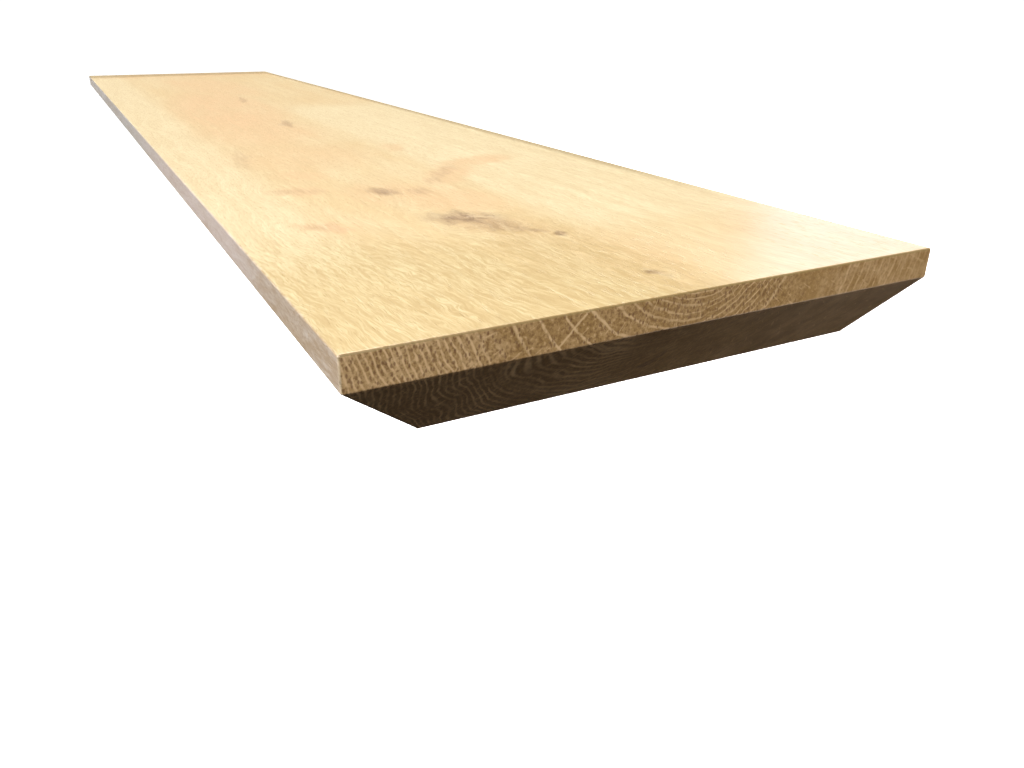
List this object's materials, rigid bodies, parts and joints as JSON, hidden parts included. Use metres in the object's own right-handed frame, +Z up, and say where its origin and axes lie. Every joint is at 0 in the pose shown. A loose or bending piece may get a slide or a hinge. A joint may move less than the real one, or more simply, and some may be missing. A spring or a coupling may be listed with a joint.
{
  "type": "undercut oak board",
  "caption": "Long solid oak board: thin upright edge over a 45 degree undercut on front and ends, square back, held by hidden rods and wall plates let into the back.",
  "frame": {"origin": "centre of the footprint, level with the flat underside", "axes": "+X along the board, +Y through the square back into the wall, +Z up through the top face; the undercut front faces -Y"},
  "size_m": [0.97, 0.205, 0.04],
  "materials": {
    "oak": "sanded and oiled oak, satin",
    "zinc_steel": "bright zinc plated steel"
  },
  "bodies": {
    "wall_supports": {"support_plate_left": "zinc_steel", "support_plate_middle": "zinc_steel", "support_plate_right": "zinc_steel", "support_rod_left": "zinc_steel", "support_rod_middle": "zinc_steel", "support_rod_right": "zinc_steel"},
    "board": {"oak_board": "oak"}
  },
  "joints": [
    {"name": "board_slide", "type": "slide", "parent": "wall_supports", "child": "board", "axis": [0, -1, 0], "range_m": [0, 0.15]}
  ]
}
